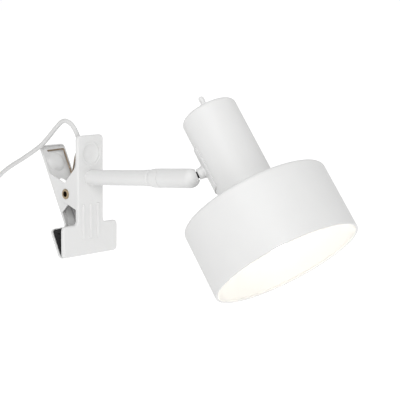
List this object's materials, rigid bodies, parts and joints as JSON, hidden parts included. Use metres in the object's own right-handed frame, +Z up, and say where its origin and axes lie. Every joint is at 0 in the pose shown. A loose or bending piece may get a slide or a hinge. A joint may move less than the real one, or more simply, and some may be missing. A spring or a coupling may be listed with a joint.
{
  "type": "clip-on reading lamp",
  "caption": "White metal clip-on reading lamp: sprung T-shaped jaws, a short straight arm, a slotted ball joint and a deep round shade on a cup with a toggle switch.",
  "frame": {"origin": "centre of the front jaw's rubber pad face, where the clip bites", "axes": "+X along the arm towards the lamp head, +Y across the clip, +Z up along the front jaw"},
  "size_m": [0.4665, 0.1342, 0.2855],
  "materials": {
    "white_paint": "satin white powder coat",
    "black_rubber": "matt black rubber",
    "brass": "plain brass",
    "spring_steel": "oil-tempered brown spring wire",
    "zinc_steel": "zinc plated",
    "dark_steel": "black oxide",
    "white_plastic": "smooth moulded",
    "white_cable": "soft PVC sheath",
    "wire_cores": "insulated cores",
    "porcelain": "glazed",
    "bulb_glass": "opal, lit warm white",
    "bulb_insulator": "vitrite"
  },
  "bodies": {
    "clip_front": {"front_jaw": "white_paint", "front_pad": "black_rubber", "pivot_rivet": "brass", "torsion_spring": "spring_steel", "arm_tube": "white_paint", "arm_insert": "zinc_steel", "arm_nipple": "zinc_steel", "wedge_washer": "zinc_steel", "arm_nut": "zinc_steel", "arm_wires": "wire_cores", "arm_bush": "white_paint", "swivel_clip": "zinc_steel", "cord_boot": "white_plastic", "cord_lead": "white_cable", "cord_coil": "white_cable", "cord_tie": "white_plastic", "cord_tail": "white_cable", "plug_body": "white_plastic", "plug_pins": "zinc_steel"},
    "clip_rear": {"rear_jaw": "white_paint", "rear_pad": "black_rubber"},
    "joint": {"joint_socket": "white_paint", "ball_seat": "white_plastic", "spring_washers": "spring_steel"},
    "ball": {"ball_stud": "dark_steel", "neck_collar": "white_paint", "stud_nut": "zinc_steel"},
    "lamp_head": {"saddle_plate": "white_paint", "backing_block": "zinc_steel", "lamp_cup": "white_paint", "shade": "white_paint", "shade_ring": "white_plastic", "lampholder": "porcelain", "screw_shell": "brass", "centre_contact": "brass", "bulb_cap": "zinc_steel", "bulb_tip": "bulb_insulator", "bulb_globe": "bulb_glass", "holder_strap": "zinc_steel", "strap_screws": "zinc_steel", "terminal_screws": "zinc_steel", "head_wires": "wire_cores", "switch_body": "white_plastic", "switch_nut": "white_plastic"},
    "lever": {"switch_lever": "white_plastic"}
  },
  "joints": [
    {"name": "clip_hinge", "type": "hinge", "parent": "clip_front", "child": "clip_rear", "pos_m": [-0.0139, 0, 0.041], "axis": [0, 1, 0], "range_deg": [0, 34], "stiffness_Nm_per_rad": 0.5, "springref_deg": -40.11, "deforming": ["torsion_spring"]},
    {"name": "arm_swivel", "type": "hinge", "parent": "clip_front", "child": "joint", "pos_m": [0.0041, 0, 0.057], "axis": [0.9945, 0, 0.1045], "range_deg": [-170, 170]},
    {"name": "head_tilt", "type": "hinge", "parent": "joint", "child": "ball", "pos_m": [0.13438, 0, 0.07069], "axis": [-0.0924, -0.4669, 0.8795], "range_deg": [-9, 30]},
    {"name": "head_spin", "type": "hinge", "parent": "ball", "child": "lamp_head", "pos_m": [0.13438, 0, 0.07069], "axis": [0.5485, 0.7133, 0.4363], "range_deg": [-150, 70]},
    {"name": "switch_toggle", "type": "hinge", "parent": "lamp_head", "child": "lever", "pos_m": [0.12596, 0.02782, 0.1252], "axis": [0.5485, 0.7133, 0.4363], "range_deg": [-18, 0]}
  ]
}
